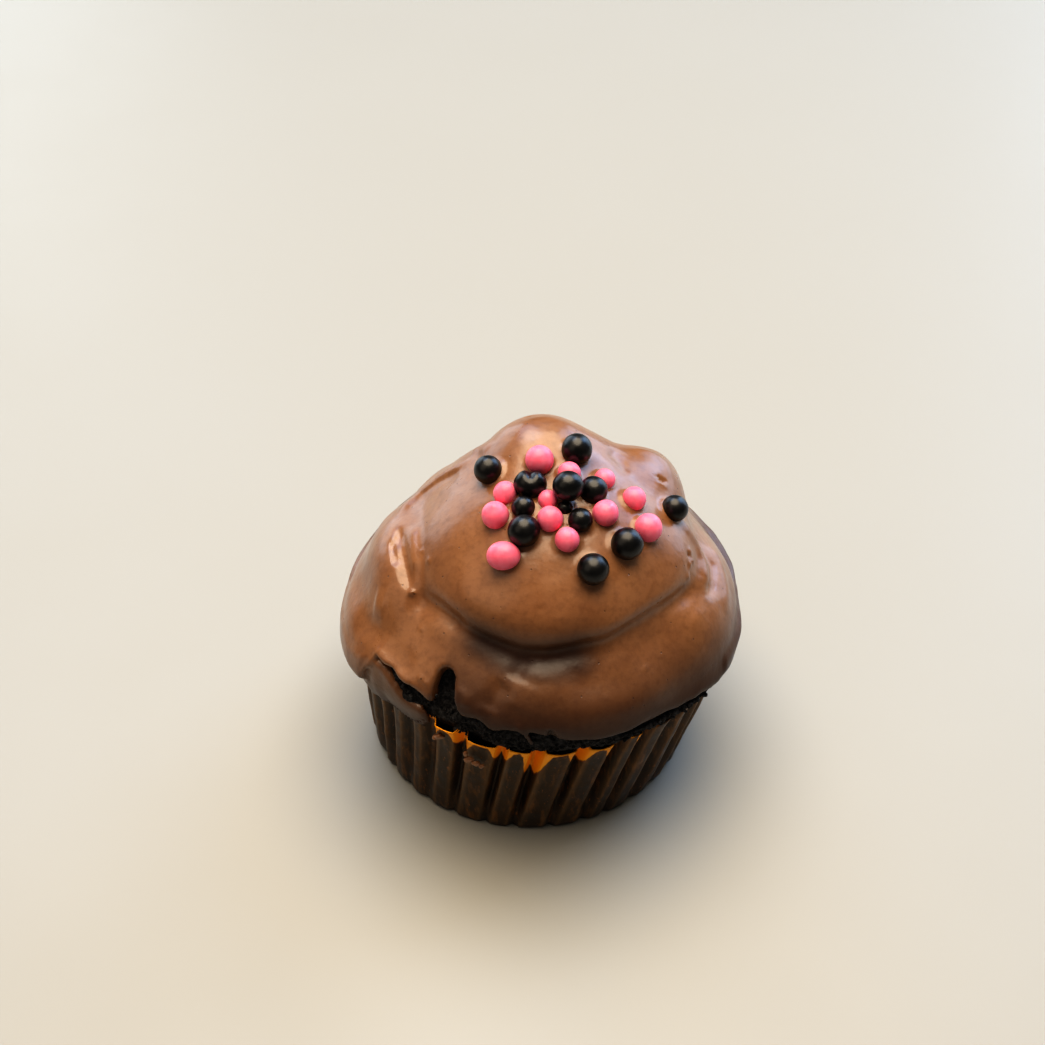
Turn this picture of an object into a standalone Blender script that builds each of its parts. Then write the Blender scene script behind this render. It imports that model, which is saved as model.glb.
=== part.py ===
"""An iced muffin in a pleated paper case, with sugar pearls on top.

Metres, +Z up. The origin is the centre of the paper case's flat foot, on the surface
that it stands on, and -Y is the muffin's front.
"""

import math
import random

import bmesh
import bpy
import numpy as np
from mathutils import Matrix, Vector

MM = 0.001

# Paper case: a pleated cup that leans a little towards +X
FOOT_RADIUS = 26.9 * MM
CASE_BASE_RADIUS = 27.3 * MM
CASE_RIM_RADIUS = 31.0 * MM
CASE_HEIGHT = 25.0 * MM
CASE_LEAN = 2.5 * MM
CASE_TWIST = math.radians(4)
PAPER = 0.3 * MM
PLEATS = 40
PLEAT_DEPTH = 1.3 * MM
PLEAT_UNEVENNESS = 0.22
# Share of the height, and share of the pleat depth there
CASE_ROWS = ((0.06, 0.5), (0.4, 1.0), (1.0, 1.0))

# Icing: a coat over the cake's lumps, with a tongue that hangs over the case at the left
CLEARANCE = 0.3 * MM
UNDERSIDE = 2.1 * MM
FACET_ALLOWANCE = 0.2 * MM
ICING = UNDERSIDE + FACET_ALLOWANCE
LIP_SHARES = {0: 0.45, 1: 0.8}
LIP_HEIGHT = 26.9 * MM
RIM_MARGIN = 1.5 * MM
DRAPE_DROP = 9.0 * MM
DRAPE_GAP = 0.6 * MM
DRAPE_AZIMUTH = math.radians(-163)
DRAPE_HALF_WIDTH = math.radians(60)
COLUMNS = 48
AZIMUTHS = [math.tau * column / COLUMNS for column in range(COLUMNS)]
SHOULDER_HEIGHT = 30.5 * MM
SHOULDER_RINGS = 9
LIP_RINGS = 4
RINGS = SHOULDER_RINGS + LIP_RINGS
CAP_CENTRE = np.array((1.5, -2.5, 33.0)) * MM
FAR_OUT = 60.0 * MM
CLOSEST = 20.0 * MM

# The lumps of the cap: centre and radii in millimetres, and how softly each one joins
# the lumps before it
LUMPS = {
    "lower roll": ((2.0, -2.0, 30.5), (30.5, 29.0, 11.0), 0.0),
    "back roll": ((2.5, 8.0, 28.5), (28.0, 24.0, 9.5), 2.0),
    "middle": ((2.5, -1.5, 33.0), (26.0, 25.0, 17.0), 4.0),
    "back fold": ((4.0, 6.0, 36.5), (18.0, 17.0, 10.5), 2.5),
    "upper fold": ((4.0, -4.0, 41.0), (22.0, 20.5, 11.0), 1.5),
    "upper dome": ((3.5, -3.5, 38.0), (20.5, 19.5, 17.5), 3.0),
    "saddle": ((10.5, 5.0, 45.0), (8.0, 8.0, 8.6), 4.0),
    "peak": ((2.1, 5.0, 47.8), (10.5, 10.0, 10.9), 4.0),
    "back knob": ((-6.5, 5.5, 43.0), (8.0, 8.5, 8.5), 2.5),
    "right knob": ((17.6, 5.5, 42.6), (7.4, 8.6, 9.2), 3.0),
    "left lobe": ((-17.0, -8.0, 26.5), (13.0, 14.0, 10.0), 5.0),
    "left shoulder": ((-9.3, 6.0, 37.8), (10.0, 11.0, 9.0), 3.0),
    "left roll": ((-19.0, -3.0, 35.0), (7.0, 13.0, 9.0), 2.5),
    "right lobe": ((20.0, -6.0, 30.2), (12.4, 15.5, 11.0), 4.0),
    "front lobe": ((4.0, -18.5, 29.5), (18.0, 14.5, 9.0), 4.0),
    "right lip": ((17.0, -9.0, 26.4), (15.0, 17.0, 6.0), 3.0),
}

# Cake below the icing: a crumbly brim over the case, then a plug that fills the case
BRIM_HEIGHT = 26.2 * MM
BRIM_BULGE = 0.6 * MM
COVERED_BRIM_INSET = 0.8 * MM
BRIM_UNDERSIDE = 25.5 * MM
BRIM_UNDERSIDE_RADIUS = 30.2 * MM
HEEL_HEIGHT = 2.0 * MM
HEEL_ROUNDING = 1.2 * MM

# Sugar pearls: place in plan, radius and lift off the icing, all in millimetres
BLACK_PEARLS = (
    (-6.4, -1.2, 2.07, 0.0),
    (7.2, 0.3, 2.27, 0.0),
    (0.1, -5.9, 2.09, 0.0),
    (-1.0, -9.6, 1.69, 0.0),
    (-0.9, -13.7, 2.28, 0.0),
    (5.7, -8.2, 2.22, 1.8),
    (9.6, -6.4, 2.04, 0.0),
    (7.5, -11.8, 1.74, 0.0),
    (5.2, -9.6, 1.12, 0.0),
    (9.3, -18.6, 2.25, 0.0),
    (14.5, -14.1, 2.28, 0.0),
    (22.5, -3.0, 1.98, 0.0),
)
PINK_PEARLS = (
    (1.5, -2.0, 2.06, 0.0),
    (6.0, -3.6, 1.66, 0.0),
    (11.4, -3.1, 1.56, 0.0),
    (-3.7, -6.4, 1.71, 0.0),
    (-5.2, -10.1, 1.96, 0.0),
    (3.0, -11.9, 1.83, 0.0),
    (11.3, -10.0, 1.87, 0.0),
    (5.5, -14.8, 1.73, 0.0),
    (-3.9, -16.5, 2.13, 0.0),
    (15.9, -5.4, 1.74, 0.0),
    (17.9, -10.0, 2.02, 0.0),
    (2.7, -8.4, 1.41, 0.0),
)
PEARL_FLATNESS = 0.95
PEARL_SINK = 0.7 * MM
PEARL_SEGMENTS = 10
PEARL_RINGS = 6

# Finding the cap's face along a ray
MARCH_STEPS = 120
MARCH_SHARE = 0.8
BISECTIONS = 30
LEAST_SLOPE = 1.0
HIGHEST_SHOULDER = math.pi / 4
LOWEST_SHOULDER = math.pi * 3 / 4
SLOPE_STEP = 0.05 * MM

# Base colour and roughness
FINISHES = {
    "paper": ((0.060, 0.028, 0.012), 0.45),
    "cake": ((0.020, 0.014, 0.012), 0.90),
    "icing": ((0.170, 0.080, 0.045), 0.30),
    "black sugar": ((0.012, 0.010, 0.010), 0.20),
    "pink sugar": ((0.850, 0.110, 0.250), 0.35),
}


def clear_scene():
    for thing in list(bpy.data.objects):
        bpy.data.objects.remove(thing, do_unlink=True)


def make_finish(name):
    """A Principled material in one of the colours above."""
    colour, roughness = FINISHES[name]
    material = bpy.data.materials.new(name)
    material.use_nodes = True
    shader = material.node_tree.nodes["Principled BSDF"]
    shader.inputs["Base Color"].default_value = (*colour, 1.0)
    shader.inputs["Roughness"].default_value = roughness
    shader.inputs["Metallic"].default_value = 0.0
    material.diffuse_color = (*colour, 1.0)
    return material


def add_object(name, shape, collection, material=None):
    """Turns a bmesh into a named object in a collection."""
    mesh = bpy.data.meshes.new(name)
    shape.to_mesh(mesh)
    shape.free()
    thing = bpy.data.objects.new(name, mesh)
    collection.objects.link(thing)
    if material:
        mesh.materials.append(material)
    return thing


def lump_distance(points):
    """Distance from each point to the icing's outer face, negative inside."""
    total = None
    for centre, radii, blend in LUMPS.values():
        radii = np.array(radii) * MM
        scaled = (points - np.array(centre) * MM) / radii
        length = np.linalg.norm(scaled, axis=1)
        slope = np.maximum(np.linalg.norm(scaled / radii, axis=1), LEAST_SLOPE)
        lump = length * (length - 1) / slope
        if total is None:
            total = lump
        elif blend == 0:
            total = np.minimum(total, lump)
        else:
            overlap = np.maximum(blend * MM - np.abs(total - lump), 0)
            total = np.minimum(total, lump) - overlap**2 / (4 * blend * MM)
    return total


def cap_points(origins, directions, inset):
    """Points of the cap, an inset below its outer face, along rays from inside it."""
    reach = np.full(len(directions), FAR_OUT)
    for _ in range(MARCH_STEPS):
        points = origins + directions * reach[:, None]
        reach -= MARCH_SHARE * (lump_distance(points) + inset)
        reach = np.maximum(reach, CLOSEST)
    return origins + directions * reach[:, None]


def case_centre(height):
    """The case's middle in plan at a height."""
    return np.array((CASE_LEAN * height / CASE_HEIGHT, 0.0))


def case_radius(height):
    """Radius of the pleats' crests at a height."""
    return CASE_BASE_RADIUS + (CASE_RIM_RADIUS - CASE_BASE_RADIUS) * height / CASE_HEIGHT


def spread(point, inset):
    """Moves a point of the cap out past the case's wall, or past a slope above its rim."""
    height = min(point[2], CASE_HEIGHT)
    centre = case_centre(height)
    outwards = point[:2] - centre
    radius = np.linalg.norm(outwards)
    above = max(point[2] - CASE_HEIGHT - RIM_MARGIN, 0)
    needed = case_radius(height) + DRAPE_GAP - above - (inset - UNDERSIDE)
    outwards *= max(needed / radius, 1)
    return np.array((*(centre + outwards), point[2]))


def drape_share(azimuth):
    """How far the icing hangs here: 0 where it ends at the lip, 1 at its lowest."""
    away = abs((azimuth - DRAPE_AZIMUTH + math.pi) % math.tau - math.pi)
    return math.cos(math.pi / 2 * min(away / DRAPE_HALF_WIDTH, 1)) ** 2


def ray(polar, azimuth):
    flat = math.sin(polar)
    return (flat * math.cos(azimuth), flat * math.sin(azimuth), math.cos(polar))


def shoulder_polars():
    """The polar angle at which each column of the icing's underside is at the shoulder."""
    low = np.full(COLUMNS, HIGHEST_SHOULDER)
    high = np.full(COLUMNS, LOWEST_SHOULDER)
    for _ in range(BISECTIONS):
        middle = (low + high) / 2
        rays = np.array([ray(p, a) for p, a in zip(middle, AZIMUTHS)])
        above = cap_points(CAP_CENTRE, rays, UNDERSIDE)[:, 2] > SHOULDER_HEIGHT
        low = np.where(above, middle, low)
        high = np.where(above, high, middle)
    return low


def cap_grid(lip_heights, inset):
    """Rings of points down the cap: round its top to the shoulder, then level ones."""
    shares = np.arange(1, SHOULDER_RINGS + 1) / SHOULDER_RINGS
    polars = np.outer(shares, shoulder_polars())
    top = [ray(p, a) for row in polars for p, a in zip(row, AZIMUTHS)]
    shares = np.arange(1, LIP_RINGS + 1) / LIP_RINGS
    heights = SHOULDER_HEIGHT + np.outer(shares, lip_heights - SHOULDER_HEIGHT)
    level = np.array([ray(math.pi / 2, azimuth) for azimuth in AZIMUTHS] * LIP_RINGS)
    middles = [(*CAP_CENTRE[:2], height) for height in heights.flat]
    points = np.concatenate((
        cap_points(CAP_CENTRE, np.array(top), inset),
        cap_points(np.array(middles), level, inset),
    ))
    spread_out = np.array([spread(point, inset) for point in points])
    return spread_out.reshape(RINGS, COLUMNS, 3)


def cap_top(inset):
    return cap_points(CAP_CENTRE, np.array([(0.0, 0.0, 1.0)]), inset)[0]


def ring_and_column(vertex, rings):
    """Which ring and column of a unit UV sphere a vertex is on."""
    polar = vertex.co.angle(Vector((0, 0, 1)))
    azimuth = math.atan2(vertex.co.y, vertex.co.x)
    return round(polar * rings / math.pi), round(azimuth * COLUMNS / math.tau) % COLUMNS


def make_paper_case(collection, material):
    """A round foot whose edge is drawn up in rows, with every other corner pushed in."""
    rng = random.Random(5)
    corners = 2 * PLEATS
    step = math.tau / corners
    angles = [step * (i + PLEAT_UNEVENNESS * rng.uniform(-1, 1)) for i in range(corners)]
    shape = bmesh.new()
    bmesh.ops.create_circle(shape, cap_ends=True, radius=FOOT_RADIUS, segments=corners)
    corner = shape.verts.layers.int.new("corner")
    for vertex in shape.verts:
        vertex[corner] = round(math.atan2(vertex.co.y, vertex.co.x) / step) % corners
    for height_share, depth_share in CASE_ROWS:
        edges = [edge for edge in shape.edges if edge.is_boundary]
        drawn = bmesh.ops.extrude_edge_only(shape, edges=edges)["geom"]
        height = height_share * CASE_HEIGHT
        crest = case_radius(height)
        radii = (crest, crest - PLEAT_DEPTH * depth_share)
        centre = case_centre(height)
        for vertex in drawn:
            if isinstance(vertex, bmesh.types.BMVert):
                angle = angles[vertex[corner]] + CASE_TWIST * height_share
                radius = radii[vertex[corner] % 2]
                vertex.co.x = centre[0] + radius * math.cos(angle)
                vertex.co.y = centre[1] + radius * math.sin(angle)
                vertex.co.z = height
    bmesh.ops.recalc_face_normals(shape, faces=shape.faces)
    foot = max(shape.faces, key=lambda face: len(face.verts))
    if foot.normal.z > 0:
        bmesh.ops.reverse_faces(shape, faces=shape.faces)
    case = add_object("paper_case", shape, collection, material)
    walls = case.modifiers.new("paper", "SOLIDIFY")
    walls.thickness = PAPER
    walls.offset = -1
    return case


def make_icing(collection, material):
    """The icing's underside, thickened outwards, thinner along its lip."""
    lips = np.array([LIP_HEIGHT - DRAPE_DROP * drape_share(a) for a in AZIMUTHS])
    grid = cap_grid(lips, UNDERSIDE)
    sphere_rings = 2 * RINGS
    shape = bmesh.new()
    bmesh.ops.create_uvsphere(
        shape, u_segments=COLUMNS, v_segments=sphere_rings, radius=1
    )
    places = {v: ring_and_column(v, sphere_rings) for v in shape.verts}
    below = [v for v, (ring, _) in places.items() if ring > RINGS]
    bmesh.ops.delete(shape, geom=below, context="VERTS")
    shares = []
    for vertex in shape.verts:
        ring, column = places[vertex]
        if ring == 0:
            vertex.co = cap_top(UNDERSIDE)
        else:
            vertex.co = grid[ring - 1, column]
        shares.append(LIP_SHARES.get(RINGS - ring, 1.0))
    icing = add_object("icing", shape, collection, material)
    group = icing.vertex_groups.new(name="thickness")
    for index, share in enumerate(shares):
        group.add([index], share, "REPLACE")
    icing.data.shade_smooth()
    coat = icing.modifiers.new("coat", "SOLIDIFY")
    coat.thickness = ICING
    coat.offset = 1
    coat.vertex_group = group.name
    return icing


def cake_side(lip, azimuth):
    """The cake's outline below the icing in one column, from its brim to its heel."""
    lowest = PAPER + CLEARANCE
    wall = PLEAT_DEPTH + PAPER + CLEARANCE
    bulge = -COVERED_BRIM_INSET if drape_share(azimuth) > 0 else BRIM_BULGE
    brim = np.linalg.norm(lip[:2] - case_centre(CASE_HEIGHT)) + bulge
    rows = (
        (BRIM_HEIGHT, brim),
        (BRIM_UNDERSIDE, min(BRIM_UNDERSIDE_RADIUS, brim - BRIM_BULGE)),
        (BRIM_UNDERSIDE - CLEARANCE / 2, CASE_RIM_RADIUS - wall),
        (HEEL_HEIGHT, case_radius(HEEL_HEIGHT) - wall),
        (lowest, case_radius(lowest) - wall - HEEL_ROUNDING),
    )
    side = []
    for height, radius in rows:
        centre = case_centre(min(height, CASE_HEIGHT))
        away = np.array((math.cos(azimuth), math.sin(azimuth))) * radius
        side.append((*(centre + away), height))
    return side


def make_cake(collection, material):
    """One solid: the dome under the icing, the brim, and the plug in the case."""
    inset = UNDERSIDE + CLEARANCE
    grid = cap_grid(np.full(COLUMNS, LIP_HEIGHT), inset)
    for column, azimuth in enumerate(AZIMUTHS):
        if drape_share(azimuth) > 0:
            inwards = COVERED_BRIM_INSET * np.array(ray(math.pi / 2, azimuth))
            grid[SHOULDER_RINGS:, column] -= inwards
    sides = [cake_side(lip, azimuth) for lip, azimuth in zip(grid[-1], AZIMUTHS)]
    sphere_rings = RINGS + len(sides[0]) + 1
    shape = bmesh.new()
    bmesh.ops.create_uvsphere(
        shape, u_segments=COLUMNS, v_segments=sphere_rings, radius=1
    )
    places = {v: ring_and_column(v, sphere_rings) for v in shape.verts}
    for vertex, (ring, column) in places.items():
        if ring == 0:
            vertex.co = cap_top(inset)
        elif ring <= RINGS:
            vertex.co = grid[ring - 1, column]
        elif ring < sphere_rings:
            vertex.co = sides[column][ring - RINGS - 1]
        else:
            vertex.co = (0.0, 0.0, PAPER + CLEARANCE)
    cake = add_object("cake", shape, collection, material)
    cake.data.shade_smooth()
    return cake


def pearl_shape(radius):
    """A slightly flat ball."""
    shape = bmesh.new()
    bmesh.ops.create_uvsphere(
        shape, u_segments=PEARL_SEGMENTS, v_segments=PEARL_RINGS, radius=radius
    )
    bmesh.ops.scale(shape, vec=(1, 1, PEARL_FLATNESS), verts=shape.verts)
    return shape


def pearl_seat(x, y, radius, lift):
    """Where a pearl dropped at (x, y) comes to rest, and the way its short axis points."""
    stand_off = radius * PEARL_FLATNESS - PEARL_SINK + lift
    point = np.array((x, y, 2 * FAR_OUT))
    for _ in range(MARCH_STEPS):
        point[2] -= MARCH_SHARE * (lump_distance(point[None])[0] - stand_off)
    steps = np.eye(3) * SLOPE_STEP
    slope = lump_distance(point + steps) - lump_distance(point - steps)
    return Vector(point), Vector(slope).to_track_quat("Z", "Y").to_matrix().to_4x4()


def make_pearls(name, places, material, collection, cutters, icing):
    """Pearls of one colour, each with its own seat cut in the icing if it rests there."""
    for number, place in enumerate(places, 1):
        x, y, radius, lift = (value * MM for value in place)
        centre, turn = pearl_seat(x, y, radius, lift)
        where = Matrix.Translation(centre) @ turn
        pearl = add_object(f"{name}_{number:02d}", pearl_shape(radius), collection, material)
        pearl.matrix_world = where
        pearl.data.shade_smooth()
        if lift > 0:
            continue
        cutter = add_object(f"{name}_seat_{number:02d}", pearl_shape(radius + CLEARANCE), cutters)
        cutter.matrix_world = where
        cutter.hide_render = True
        cutter.display_type = "WIRE"
        seat = icing.modifiers.new(f"{name} seat {number}", "BOOLEAN")
        seat.operation = "DIFFERENCE"
        seat.solver = "EXACT"
        seat.object = cutter


def main():
    clear_scene()
    parts = bpy.data.collections.new("muffin")
    cutters = bpy.data.collections.new("cutters")
    for collection in (parts, cutters):
        bpy.context.scene.collection.children.link(collection)
    make_paper_case(parts, make_finish("paper"))
    make_cake(parts, make_finish("cake"))
    icing = make_icing(parts, make_finish("icing"))
    black = make_finish("black sugar")
    pink = make_finish("pink sugar")
    make_pearls("pearl_black", BLACK_PEARLS, black, parts, cutters, icing)
    make_pearls("pearl_pink", PINK_PEARLS, pink, parts, cutters, icing)
    bpy.context.view_layer.update()


main()
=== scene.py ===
import math
import bmesh
import bpy
import numpy as np
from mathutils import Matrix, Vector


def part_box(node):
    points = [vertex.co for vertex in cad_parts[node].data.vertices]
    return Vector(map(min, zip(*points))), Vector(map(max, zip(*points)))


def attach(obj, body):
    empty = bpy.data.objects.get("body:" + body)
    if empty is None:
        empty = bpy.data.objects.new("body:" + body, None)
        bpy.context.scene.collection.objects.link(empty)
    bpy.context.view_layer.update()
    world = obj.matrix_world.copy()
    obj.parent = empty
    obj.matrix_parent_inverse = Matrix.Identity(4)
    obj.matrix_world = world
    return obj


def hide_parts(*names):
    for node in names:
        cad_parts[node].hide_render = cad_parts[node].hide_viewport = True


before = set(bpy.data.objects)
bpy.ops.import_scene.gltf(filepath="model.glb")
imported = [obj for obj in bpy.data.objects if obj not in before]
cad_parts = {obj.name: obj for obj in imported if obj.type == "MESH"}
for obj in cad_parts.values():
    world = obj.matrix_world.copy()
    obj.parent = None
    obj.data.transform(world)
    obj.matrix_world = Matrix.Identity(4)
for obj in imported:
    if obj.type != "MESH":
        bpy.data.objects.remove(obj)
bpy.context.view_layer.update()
print("muffin: frame loaded")

mm = 0.001                      # lengths below are in millimetres unless a line says otherwise


# Shape maths

def rampUp(low, high, values):
    # 0 below low, 1 above high, smooth between
    share = np.clip((values - low) / (high - low), 0, 1)
    return share * share * (3 - 2 * share)


def softMin(a, b, blend):
    overlap = np.maximum(blend - np.abs(a - b), 0)
    return np.minimum(a, b) - overlap ** 2 / (4 * blend)


def softMax(a, b, blend):
    return -softMin(-a, -b, blend)


noiseCells = 32
noiseBlocks = {}


def grain(points, size, seed):
    # smooth value noise from -1 to 1, one value for each lump of that size
    if seed not in noiseBlocks:
        noiseBlocks[seed] = np.random.default_rng(seed).uniform(-1, 1, (noiseCells,) * 3)
    block = noiseBlocks[seed]
    scaled = points / size
    corner = np.floor(scaled)
    part = scaled - corner
    part = part * part * (3 - 2 * part)
    near = corner.astype(int) % noiseCells
    far = (near + 1) % noiseCells
    spots = (near, far)
    shares = (1 - part, part)
    total = 0
    for x, y, z in np.ndindex(2, 2, 2):
        values = block[spots[x][:, 0], spots[y][:, 1], spots[z][:, 2]]
        total = total + shares[x][:, 0] * shares[y][:, 1] * shares[z][:, 2] * values
    return total


def wobble(points, look, seed):
    # grain of one size, as high as its second number
    size, height = look
    return height * grain(points, size, seed)


def azimuthOf(points):
    # degrees round the case's middle, -90 at the front
    return np.degrees(np.arctan2(points[:, 1], points[:, 0]))


def roundTheRim(table, azimuths):
    # a smooth closed curve through (azimuth, value) pairs
    knots = np.array(sorted(table), float)
    places, values = np.concatenate((knots[-1:] - (360, 0), knots, knots[:1] + (360, 0))).T
    span = np.clip(np.searchsorted(places, azimuths, side="right") - 1, 0, len(places) - 2)
    share = (azimuths - places[span]) / (places[span + 1] - places[span])
    share = share * share * (3 - 2 * share)
    return values[span] * (1 - share) + values[span + 1] * share


def strandDistance(points, path):
    # distance to a line of points, and how far along it the nearest place is, from 0 to 1
    path = np.array(path, float)
    if len(path) == 1:
        return np.linalg.norm(points - path[0], axis=1), np.full(len(points), 0.5)
    lengths = np.linalg.norm(np.diff(path, axis=0), axis=1)
    before = np.concatenate(([0], np.cumsum(lengths)))
    best = np.full(len(points), np.inf)
    along = np.zeros(len(points))
    for i, length in enumerate(lengths):
        way = (path[i + 1] - path[i]) / length
        offset = points - path[i]
        reach = np.clip(offset @ way, 0, length)
        away = np.linalg.norm(offset - reach[:, None] * way, axis=1)
        nearer = away < best
        best = np.where(nearer, away, best)
        along = np.where(nearer, before[i] + reach, along)
    return best, along / before[-1]


def rope(points, path, radii):
    # distance to a round strand whose radius changes along it
    away, along = strandDistance(points, path)
    stops = np.linspace(0, 1, len(radii))
    return away - np.interp(along, stops, radii)


# From a distance to a mesh

meshing = {
    "block": 4,                 # grid cells along a coarse block
    "reach": 1.5,               # coarse blocks looked into, in half diagonals from the face
    "settleSteps": 2,
    "slopeStep": 0.02,
    "leastSlope": 0.4,
}


def sampleGrid(distance, low, high, cell):
    # fine values near the face, coarse ones elsewhere
    block = meshing["block"]
    blocks = np.ceil((high - low) / (cell * block)).astype(int)
    axes = [low[a] + cell * (block * np.arange(blocks[a]) + (block - 1) / 2) for a in range(3)]
    middles = np.stack(np.meshgrid(*axes, indexing="ij"), -1)
    coarse = distance(middles.reshape(-1, 3)).reshape(blocks)
    near = np.argwhere(np.abs(coarse) < meshing["reach"] * cell * block * math.sqrt(3) / 2)
    values = coarse
    for axis in range(3):
        values = np.repeat(values, block, axis)
    steps = np.argwhere(np.ones((block,) * 3))
    places = (near[:, None, :] * block + steps[None]).reshape(-1, 3)
    values[tuple(places.T)] = distance(low + cell * places)
    return values


def netOf(values, low, cell):
    # one point for each cell that the face crosses, and a quad round each crossed edge
    inside = values < 0
    shape = np.array(values.shape) - 1
    corners = list(np.ndindex(2, 2, 2))
    ways = np.eye(3, dtype=int)
    windows = [tuple(slice(c, c + n) for c, n in zip(corner, shape)) for corner in corners]
    count = sum(inside[window].astype(np.int8) for window in windows)
    active = (count > 0) & (count < 8)
    cells = np.argwhere(active)
    number = np.full(shape, -1)
    number[tuple(cells.T)] = np.arange(len(cells))
    total = np.zeros((len(cells), 3))
    crossings = np.zeros(len(cells))
    for corner in corners:
        for axis in range(3):
            if corner[axis]:
                continue
            a = values[tuple((cells + corner).T)]
            b = values[tuple((cells + corner + ways[axis]).T)]
            crossed = (a < 0) != (b < 0)
            share = np.where(crossed, a / np.where(crossed, a - b, 1), 0)
            place = cells + corner + share[:, None] * ways[axis]
            total += place * crossed[:, None]
            crossings += crossed
    points = low + cell * total / crossings[:, None]
    quads = []
    for axis in range(3):
        side = ways[(axis + 1) % 3]
        rise = ways[(axis + 2) % 3]
        here = np.delete(inside, -1, axis)
        there = np.delete(inside, 0, axis)
        for outwards in (True, False):
            starts = np.argwhere((here & ~there) if outwards else (~here & there))
            keep = (starts >= side + rise).all(1) & (starts < shape).all(1)
            starts = starts[keep]
            ring = [starts - side - rise, starts - rise, starts, starts - side]
            ring = [number[tuple(place.T)] for place in ring]
            quads.append(np.stack(ring if outwards else ring[::-1], 1))
    return points, np.concatenate(quads)


def largestPart(points, quads):
    # drops specks that aren't joined to the main face
    label = np.arange(len(points))
    ends = np.concatenate([quads[:, [0, 1]], quads[:, [1, 2]], quads[:, [2, 3]]])
    while True:
        low = np.minimum(label[ends[:, 0]], label[ends[:, 1]])
        lower = label.copy()
        np.minimum.at(lower, ends[:, 0], low)
        np.minimum.at(lower, ends[:, 1], low)
        lower = lower[lower[lower]]
        if (lower == label).all():
            break
        label = lower
    used = label == np.bincount(label).argmax()
    renumber = np.cumsum(used) - 1
    return points[used], renumber[quads[used[quads[:, 0]]]]


def settle(distance, points, cell):
    # moves points onto the face, by less than a cell each time
    step = meshing["slopeStep"]
    start = distance(points)
    slope = np.stack([(distance(points + step * way) - start) / step for way in np.eye(3)], 1)
    steepness = np.maximum(np.linalg.norm(slope, axis=1), meshing["leastSlope"])
    way = slope / steepness[:, None]
    points = points - np.clip(start / steepness, -cell, cell)[:, None] * way
    for _ in range(meshing["settleSteps"]):
        move = np.clip(distance(points) / steepness, -cell / 2, cell / 2)
        points = points - move[:, None] * way
    return points


def meshOf(distance, low, high, cell):
    low = np.array(low, float)
    high = np.array(high, float)
    values = sampleGrid(distance, low, high, cell)
    points, quads = largestPart(*netOf(values, low, cell))
    return settle(distance, points, cell), quads


def addPiece(name, points, faces, material, replaced):
    # points in millimetres and groups of faces become an object that rides on the frame
    mesh = bpy.data.meshes.new(name)
    mesh.vertices.add(len(points))
    mesh.vertices.foreach_set("co", (np.asarray(points) * mm).astype(np.float32).ravel())
    loops = np.concatenate([group.ravel() for group in faces])
    sides = np.concatenate([np.full(len(group), group.shape[1]) for group in faces])
    mesh.loops.add(len(loops))
    mesh.loops.foreach_set("vertex_index", loops.astype(np.int32))
    mesh.polygons.add(len(sides))
    mesh.polygons.foreach_set("loop_start", (np.cumsum(sides) - sides).astype(np.int32))
    mesh.update(calc_edges=True)
    mesh.validate()
    mesh.shade_smooth()
    mesh.materials.append(material)
    piece = bpy.data.objects.new(name, mesh)
    bpy.context.scene.collection.objects.link(piece)
    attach(piece, "root")
    if replaced:
        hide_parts(*replaced)
    print("muffin:", name, len(points), "points,", len(sides), "faces")
    return piece


def addValues(piece, name, values):
    # one number for each point, for the material to read
    attribute = piece.data.attributes.new(name, "FLOAT", "POINT")
    attribute.data.foreach_set("value", np.asarray(values, np.float32))


# Shader helpers

class Wire:
    # a socket that can be used in plain sums
    def __init__(self, paint, socket):
        self.paint = paint
        self.socket = socket

    def sum(self, operation, *values):
        return self.paint.node("ShaderNodeMath", {"operation": operation}, dict(enumerate(values)))

    def __add__(self, other):
        return self.sum("ADD", self, other)

    def __sub__(self, other):
        return self.sum("SUBTRACT", self, other)

    def __rsub__(self, other):
        return self.sum("SUBTRACT", other, self)

    def __mul__(self, other):
        return self.sum("MULTIPLY", self, other)

    __radd__ = __add__
    __rmul__ = __mul__


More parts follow.
